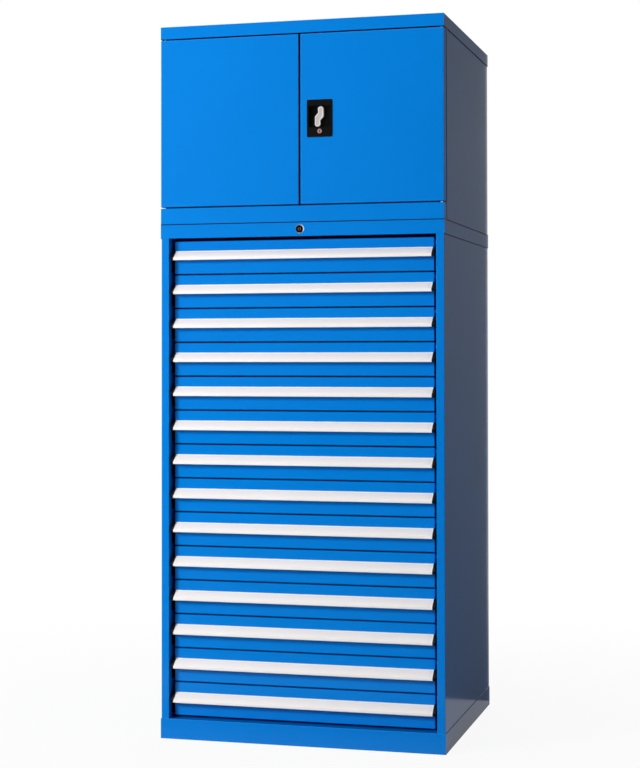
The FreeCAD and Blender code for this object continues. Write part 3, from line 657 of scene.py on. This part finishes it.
class CABINET_OT_handle_strips(bpy.types.Operator):
    """Rounded aluminium strip, label card and end caps for every drawer"""
    bl_idname = "cabinet.handle_strips"
    bl_label = "Handle strips"

    def execute(self, context):
        sizes = context.scene.cabinet_handle
        colours = context.scene.cabinet_colours
        tree = extrusion_tree()
        shape = StripShape(sizes, DRAWERS[0] + "_handle")
        span = 2 * shape.half
        strip, card = anodised_aluminium(), label_card(colours.label)
        # The end caps take the same painted shade behind the strip's back wall.
        plastic = moulded_plastic(colours.plastic, shape.wall)
        profiles = [profile_curve("strip_profile", strip_profile(sizes, shape)),
                    profile_curve("label_profile", label_profile(sizes, shape)),
                    profile_curve("cap_profile", cap_profile(sizes, shape))]
        for drawer in DRAWERS:
            lift = StripShape(sizes, drawer + "_handle").bottom
            piece = make_piece(drawer + "_strip", tree,
                               {"Profile": profiles[0], "Start": -shape.half, "Length": span,
                                "Lift": lift, "Material": strip}, drawer)
            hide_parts(drawer + "_handle")
            make_piece(drawer + "_label", tree,
                       {"Profile": profiles[1], "Start": sizes.label_inset - shape.half,
                        "Length": span - 2 * sizes.label_inset, "Lift": lift,
                        "Material": card}, drawer)
            make_piece(drawer + "_end_caps", tree,
                       {"Profile": profiles[2], "Start": shape.half,
                        "Length": sizes.cap_thickness, "Lift": lift, "Mirror Copy": True,
                        "Material": plastic}, drawer, sizes.cap_edge)
        for holder in profiles:
            bpy.data.objects.remove(holder)
        return {"FINISHED"}


# ---- turn lever ----------------------------------------------------------

def lever_outline(sizes):
    """Half of the lever's outline and the same half turned round; (x, z, radius)."""
    tall, wide = sizes.length / 2, sizes.width / 2
    inner = wide - sizes.arm
    half = [(wide, tall, sizes.corner), (inner, tall, sizes.corner),
            (inner + sizes.waist, sizes.waist_height, sizes.shoulder),
            (-wide, 0.0, sizes.shoulder)]
    return half + [(-x, -z, radius) for x, z, radius in half]


def inset(points, distance):
    """Polygon moved inwards; its points run anticlockwise."""
    moved = []
    count = len(points)
    for index, (x, z, radius) in enumerate(points):
        before, after = points[index - 1], points[(index + 1) % count]
        first = Vector((x - before[0], z - before[1])).normalized()
        second = Vector((after[0] - x, after[1] - z)).normalized()
        middle = Vector((-first.y - second.y, first.x + second.x)).normalized()
        reach = distance / middle.dot(Vector((-first.y, first.x)))
        moved.append((x + middle.x * reach, z + middle.y * reach, radius))
    return moved


class CABINET_OT_lever_bead(bpy.types.Operator):
    """Raised bead round the face of the turn lever"""
    bl_idname = "cabinet.lever_bead"
    bl_label = "Lever bead"

    def execute(self, context):
        sizes = context.scene.cabinet_lever
        middle = middle_of("turn_lever")
        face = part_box("turn_lever")[0].y
        outline = profile_curve("lever_outline", inset(lever_outline(sizes), sizes.bead_inset))
        make_piece("turn_lever_bead", bead_tree(),
                   {"Outline": outline, "Bead Width": sizes.bead_width,
                    "Bead Height": 2 * sizes.bead_height, "Place": (middle.x, face, middle.z),
                    # The bead takes a lighter copy of the lever's lacquer: a painted highlight
                    # on the raised rim.
                    "Material": silver_lacquer("#F2EDEA", "#FBF7F4")},
                   "lever")
        bpy.data.objects.remove(outline)
        return {"FINISHED"}


# ---- hems, and seam strips and buffers of painted shade ------------------

class CABINET_OT_panel_hems(bpy.types.Operator):
    """Doubled front hem on both side panels of the cupboard"""
    bl_idname = "cabinet.panel_hems"
    bl_label = "Side panel hems"

    def execute(self, context):
        sizes = context.scene.cabinet_seams
        wall_low, wall_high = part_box("cupboard_shell")
        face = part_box("cupboard_roof")[1].x - sizes.set_in
        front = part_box("cupboard_floor")[0].y + sizes.hem_setback
        rear = front + sizes.hem_width
        soft = (face - wall_high.x) / 4
        outline = [(wall_high.x, front), (face - soft, front), (face, front + soft),
                   (face, rear - soft), (face - soft, rear), (wall_high.x, rear)]
        low = wall_low.z + sizes.edge_height
        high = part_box("cupboard_roof")[0].z - sizes.edge_height
        work = bmesh.new()
        for side in (1, -1):
            foot, head = ([work.verts.new((side * x, y, z)) for x, y in outline]
                          for z in (low, high))
            for index in range(len(outline)):
                after = (index + 1) % len(outline)
                work.faces.new((foot[index], foot[after], head[after], head[index]))
            work.faces.new(foot)
            work.faces.new(head)
        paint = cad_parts["cupboard_shell"].data.materials[0]
        hems = mesh_of(work, "cupboard_panel_hems", paint)
        keep_piece("cupboard_panel_hems", hems, "cabinet")
        return {"FINISHED"}


def band_round(name, half_x, half_y, low, high, wall, front, material):
    """Thin upright band round the case; front says whether it crosses the front."""
    outer = [(half_x, -half_y), (half_x, half_y), (-half_x, half_y), (-half_x, -half_y)]
    inner = [(math.copysign(half_x - wall, x), math.copysign(half_y - wall, y))
             for x, y in outer]
    work = bmesh.new()
    rings = [[work.verts.new((x, y, z)) for x, y in ring]
             for ring, z in ((outer, low), (outer, high), (inner, high), (inner, low))]
    for side in range(4 if front else 3):
        after = (side + 1) % 4
        for ring in range(4):
            near, far = rings[ring], rings[(ring + 1) % 4]
            work.faces.new((near[side], near[after], far[after], far[side]))
    if not front:
        work.faces.new([ring[0] for ring in rings])
        work.faces.new([ring[3] for ring in reversed(rings)])
    keep_piece(name, mesh_of(work, name, material), "cabinet")


class CABINET_OT_seam_shade_strips(bpy.types.Operator):
    """Black strips in the seams of the stacked cases, as painted shade of the shadow gaps"""
    bl_idname = "cabinet.seam_strips"
    bl_label = "Seam strips"

    def execute(self, context):
        sizes = context.scene.cabinet_seams
        shade_foam = seam_shade_foam()
        cover_low, cover_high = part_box("top_cover")
        roof_low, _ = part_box("cupboard_roof")
        joint = cover_high.z + sizes.height / 2
        across = cover_high.x - sizes.set_in
        band_round("case_joint_strip", across, cover_high.y + sizes.set_in,
                   joint - sizes.height, joint, sizes.depth, True, shade_foam)
        for name, low in (("cover_edge_strip", cover_low), ("roof_edge_strip", roof_low)):
            band_round(name, across, cover_high.y - sizes.set_in, low.z - sizes.edge_height,
                       low.z, sizes.depth, False, shade_foam)
        return {"FINISHED"}


def flat_strips(name, depths, heights, spans, edge, body, material):
    """Thin chamfered strips between two depths and two heights, one for each span of X."""
    work = bmesh.new()
    for span in spans:
        ranges = (span, depths, heights)
        middle = Vector([(start + end) / 2 for start, end in ranges])
        size = [end - start for start, end in ranges]
        matrix = Matrix.Translation(middle) @ Matrix.Diagonal((*size, 1.0))
        bmesh.ops.create_cube(work, size=1.0, matrix=matrix)
    bmesh.ops.bevel(work, geom=work.edges[:], offset=edge, segments=1)
    keep_piece(name, mesh_of(work, name, material), body)


class CABINET_OT_door_shade_buffers(bpy.types.Operator):
    """Black buffer strips round the doors, which fill the door gaps as painted shade"""
    bl_idname = "cabinet.door_buffers"
    bl_label = "Door buffers"

    def execute(self, context):
        sizes = context.scene.cabinet_seams
        shade_foam = seam_shade_foam()
        thick, inset_by, edge = sizes.buffer, sizes.buffer_inset, sizes.buffer_edge
        rod = middle_of("turn_lever").x
        low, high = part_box("left_door")
        flat_strips("left_door_edge_buffer", (low.y + inset_by, high.y - inset_by),
                    (low.z + inset_by, high.z - inset_by), [(high.x, high.x + thick)], edge,
                    "left_door_leaf", shade_foam)
        for name, node, body, split in (
                ("left_door_lower_buffer", "left_door", "left_door_leaf", False),
                ("right_door_lower_buffer", "right_door", "right_door_leaf", True),
                ("roof_buffer", "cupboard_roof", "cabinet", True)):
            low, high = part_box(node)
            start, end = low.x + inset_by, high.x - inset_by
            spans = [(start, rod - sizes.rod_gap), (rod + sizes.rod_gap, end)]
            flat_strips(name, (low.y + inset_by, high.y - inset_by), (low.z - thick, low.z),
                        spans if split else [(start, end)], edge, body, shade_foam)
        return {"FINISHED"}


# ---- stage ---------------------------------------------------------------

CASE_MIDDLE = (0.0, 0.0, 1.0)


def background_rays(tree):
    """Camera rays on their own, and glossy or transmission rays together."""
    path = add(tree, "ShaderNodeLightPath").outputs
    mirrored = add(tree, "ShaderNodeMath", links={0: path["Is Glossy Ray"],
                                                  1: path["Is Transmission Ray"]},
                   operation="MAXIMUM")
    return path["Is Camera Ray"], mirrored.outputs[0]


def white_room(strength):
    """World that lights at an even level and shows as plain white."""
    world = bpy.data.worlds.new("white_room")
    tree = empty_tree(world)
    lit = add(tree, "ShaderNodeBackground", {"Color": WHITE, "Strength": strength})
    white = add(tree, "ShaderNodeBackground", {"Color": WHITE, "Strength": 1.0})
    camera, mirrored = background_rays(tree)
    either = add(tree, "ShaderNodeMath", links={0: camera, 1: mirrored}, operation="MAXIMUM")
    mix = add(tree, "ShaderNodeMixShader", links={0: either.outputs[0],
                                                  1: lit.outputs[0], 2: white.outputs[0]})
    add(tree, "ShaderNodeOutputWorld", links={"Surface": mix.outputs[0]})
    return world


def floor_finish():
    """Matt white studio floor that turns to plain white away from the cabinet.

    Reflections show it grey beside the cabinet, where it lies in shade, and white far off.
    Distances are in metres from the middle of the cabinet.
    """
    shade_end, clear_start, shade_share = 0.6, 2.2, 0.93
    front_depth, side_depth, front_grey, side_grey = -0.6, -0.3, 0.04, 0.36
    mirror_near, mirror_far = 0.9, 3.0

    material = bpy.data.materials.new("studio_floor")
    tree = empty_tree(material)
    matt = add(tree, "ShaderNodeBsdfDiffuse", {"Color": linear("#D0D0D0")})
    place = add(tree, "ShaderNodeTexCoord").outputs["Object"]
    distance = add(tree, "ShaderNodeVectorMath", links={0: place},
                   operation="LENGTH").outputs["Value"]
    camera, mirrored = background_rays(tree)
    clear = add(tree, "ShaderNodeMapRange", {"From Min": shade_end, "From Max": clear_start,
                                             "To Min": shade_share, "To Max": 1.0},
                {"Value": distance})
    seen = add(tree, "ShaderNodeMath", links={0: clear.outputs["Result"], 1: camera},
               operation="MULTIPLY")
    amount = add(tree, "ShaderNodeMath", links={0: seen.outputs[0], 1: mirrored},
                 operation="MAXIMUM")
    depth = add(tree, "ShaderNodeSeparateXYZ", links={0: place}).outputs["Y"]
    beside = add(tree, "ShaderNodeMapRange", {"From Min": front_depth, "From Max": side_depth,
                                              "To Min": front_grey, "To Max": side_grey},
                 {"Value": depth})
    away = add(tree, "ShaderNodeMapRange", {"From Min": mirror_near, "From Max": mirror_far,
                                            "To Max": 1.0},
               {"Value": distance, "To Min": beside.outputs["Result"]})
    shaded = add(tree, "ShaderNodeMix", {"A": 1.0},
                 {"Factor": mirrored, "B": away.outputs["Result"]}, data_type="FLOAT")
    white = add(tree, "ShaderNodeEmission", {"Color": WHITE},
                {"Strength": shaded.outputs["Result"]})
    mix = add(tree, "ShaderNodeMixShader", links={0: amount.outputs[0], 1: matt.outputs[0],
                                                  2: white.outputs[0]})
    add(tree, "ShaderNodeOutputMaterial", links={"Surface": mix.outputs[0]})
    return material


def round_floor(radius, drop):
    """Flat round floor, just under the plinth."""
    work = bmesh.new()
    bmesh.ops.create_circle(work, cap_ends=True, segments=96, radius=radius)
    bmesh.ops.translate(work, verts=work.verts, vec=(0, 0, -drop))
    floor = linked("studio_floor", mesh_of(work, "studio_floor", floor_finish()))


def facing(place, target):
    """Turn that makes a lamp at a place face a target."""
    return (Vector(target) - Vector(place)).to_track_quat("-Z", "Y").to_euler()


def soft_lamp(name, place, target, size, watts):
    """Rectangular area lamp that faces a point and leaves no glare on gloss paint."""
    data = bpy.data.lights.new(name, "AREA")
    data.shape = "RECTANGLE"
    data.size, data.size_y = size
    data.energy = watts
    lamp = linked(name, data)
    lamp.visible_glossy = False
    lamp.location = place
    lamp.rotation_euler = facing(place, target)


def grey_screen(name, start, end, height, glow, reach, strength):
    """Upright grey screen that only reflections show, so that gloss keeps its depth.

    It is brightest at the glow point and falls to a fifth of that at the reach.
    """
    material = bpy.data.materials.new(name)
    tree = empty_tree(material)
    place = add(tree, "ShaderNodeTexCoord").outputs["Object"]
    away = add(tree, "ShaderNodeVectorMath", {1: glow}, {0: place}, operation="DISTANCE")
    fall = add(tree, "ShaderNodeMapRange",
               {"From Max": reach, "To Min": strength, "To Max": strength / 5},
               {"Value": away.outputs["Value"]})
    grey = add(tree, "ShaderNodeEmission", {"Color": WHITE}, {"Strength": fall.outputs[0]})
    add(tree, "ShaderNodeOutputMaterial", links={"Surface": grey.outputs[0]})
    corners = [(*start, 0.0), (*end, 0.0), (*end, height), (*start, height)]
    mesh = bpy.data.meshes.new(name)
    mesh.from_pydata(corners, [], [(0, 1, 2, 3)])
    mesh.materials.append(material)
    screen = linked(name, mesh)
    screen.visible_camera = False
    screen.visible_diffuse = False
    screen.visible_shadow = False
    screen.visible_transmission = False


def viewing_camera():
    """Long lens at chest height, a little to the right of the cabinet."""
    place = Vector((1.287, -4.9625, 1.0638))
    yaw, pitch, roll = (math.radians(v) for v in (-15.315, 0.931, -0.078))
    data = bpy.data.cameras.new("viewing_camera")
    data.lens = 82.69
    data.sensor_width = 36.0
    data.shift_x = 0.01543
    data.shift_y = -0.07768
    data.clip_end = 60.0
    camera = linked("viewing_camera", data)
    ahead = Vector((math.sin(yaw) * math.cos(pitch), math.cos(yaw) * math.cos(pitch),
                    math.sin(pitch)))
    right = Vector((math.cos(yaw), -math.sin(yaw), 0))
    up = right.cross(ahead)
    across = right * math.cos(roll) + up * math.sin(roll)
    above = up * math.cos(roll) - right * math.sin(roll)
    axes = Matrix((across, above, -ahead)).transposed().to_4x4()
    camera.matrix_world = Matrix.Translation(place) @ axes
    bpy.context.scene.camera = camera


class CABINET_OT_stage(bpy.types.Operator):
    """Floor, lamps, room light and camera"""
    bl_idname = "cabinet.stage"
    bl_label = "Stage"

    def execute(self, context):
        settings = context.scene.cabinet_stage
        round_floor(settings.floor_radius, settings.floor_drop)
        soft_lamp("key_lamp", (-4.0, -4.2, 2.7), CASE_MIDDLE, (0.9, 0.9), settings.key_power)
        soft_lamp("fill_lamp", (-3.0, -4.6, 1.9), (0.1, -0.35, 0.2), (1.0, 0.6),
                  settings.fill_power)
        soft_lamp("top_lamp", (-0.6, -1.6, 5.0), CASE_MIDDLE, (2.5, 2.5), settings.top_power)
        soft_lamp("back_lamp", (-1.2, 5.5, 2.8), CASE_MIDDLE, (2.6, 2.6), settings.back_power)
        grey_screen("front_screen", (-8.0, -9.0), (4.0, -9.0), height=6.0,
                    glow=(-3.6, -9.0, 2.6), reach=3.0, strength=settings.front_screen)
        grey_screen("low_screen", (-4.0, -1.35), (3.0, -1.35), height=0.85,
                    glow=(-1.0, -1.35, 0.85), reach=2.0, strength=settings.front_screen / 6)
        grey_screen("side_screen", (0.41, 0.4), (6.0, 0.4), height=6.0,
                    glow=(0.41, 0.4, 1.7), reach=2.4, strength=settings.side_screen)
        context.scene.world = white_room(settings.room_level)
        context.scene.view_settings.view_transform = "Standard"
        viewing_camera()
        return {"FINISHED"}


# ---- panel and registration ----------------------------------------------

GROUPS = {"cabinet_handle": HandleSizes, "cabinet_lever": LeverSizes,
          "cabinet_seams": SeamSizes, "cabinet_colours": CabinetColours,
          "cabinet_stage": StageSettings}
OPERATORS = [CABINET_OT_painted_steel, CABINET_OT_metal_parts, CABINET_OT_handle_strips,
             CABINET_OT_lever_bead, CABINET_OT_panel_hems, CABINET_OT_seam_shade_strips,
             CABINET_OT_door_shade_buffers, CABINET_OT_stage]


class CABINET_PT_panel(bpy.types.Panel):
    """Panel that lists the sizes and the pieces of the cabinet"""
    bl_label = "Cabinet"
    bl_idname = "CABINET_PT_panel"
    bl_space_type = "VIEW_3D"
    bl_region_type = "UI"
    bl_category = "Cabinet"

    def draw(self, context):
        for pointer, kind in GROUPS.items():
            for name in kind.__annotations__:
                self.layout.prop(getattr(context.scene, pointer), name)
        for operator in OPERATORS:
            self.layout.operator(operator.bl_idname)


def register():
    for kind in (*GROUPS.values(), *OPERATORS, CABINET_PT_panel):
        bpy.utils.register_class(kind)
    for name, kind in GROUPS.items():
        setattr(bpy.types.Scene, name, bpy.props.PointerProperty(type=kind))


def unregister():
    for name in GROUPS:
        delattr(bpy.types.Scene, name)
    for kind in reversed((*GROUPS.values(), *OPERATORS, CABINET_PT_panel)):
        bpy.utils.unregister_class(kind)


def main():
    register()
    bpy.ops.cabinet.painted_steel()
    bpy.ops.cabinet.metal_parts()
    bpy.ops.cabinet.handle_strips()
    bpy.ops.cabinet.lever_bead()
    bpy.ops.cabinet.panel_hems()
    bpy.ops.cabinet.seam_strips()
    bpy.ops.cabinet.door_buffers()
    bpy.ops.cabinet.stage()


if __name__ == "__main__":
    main()
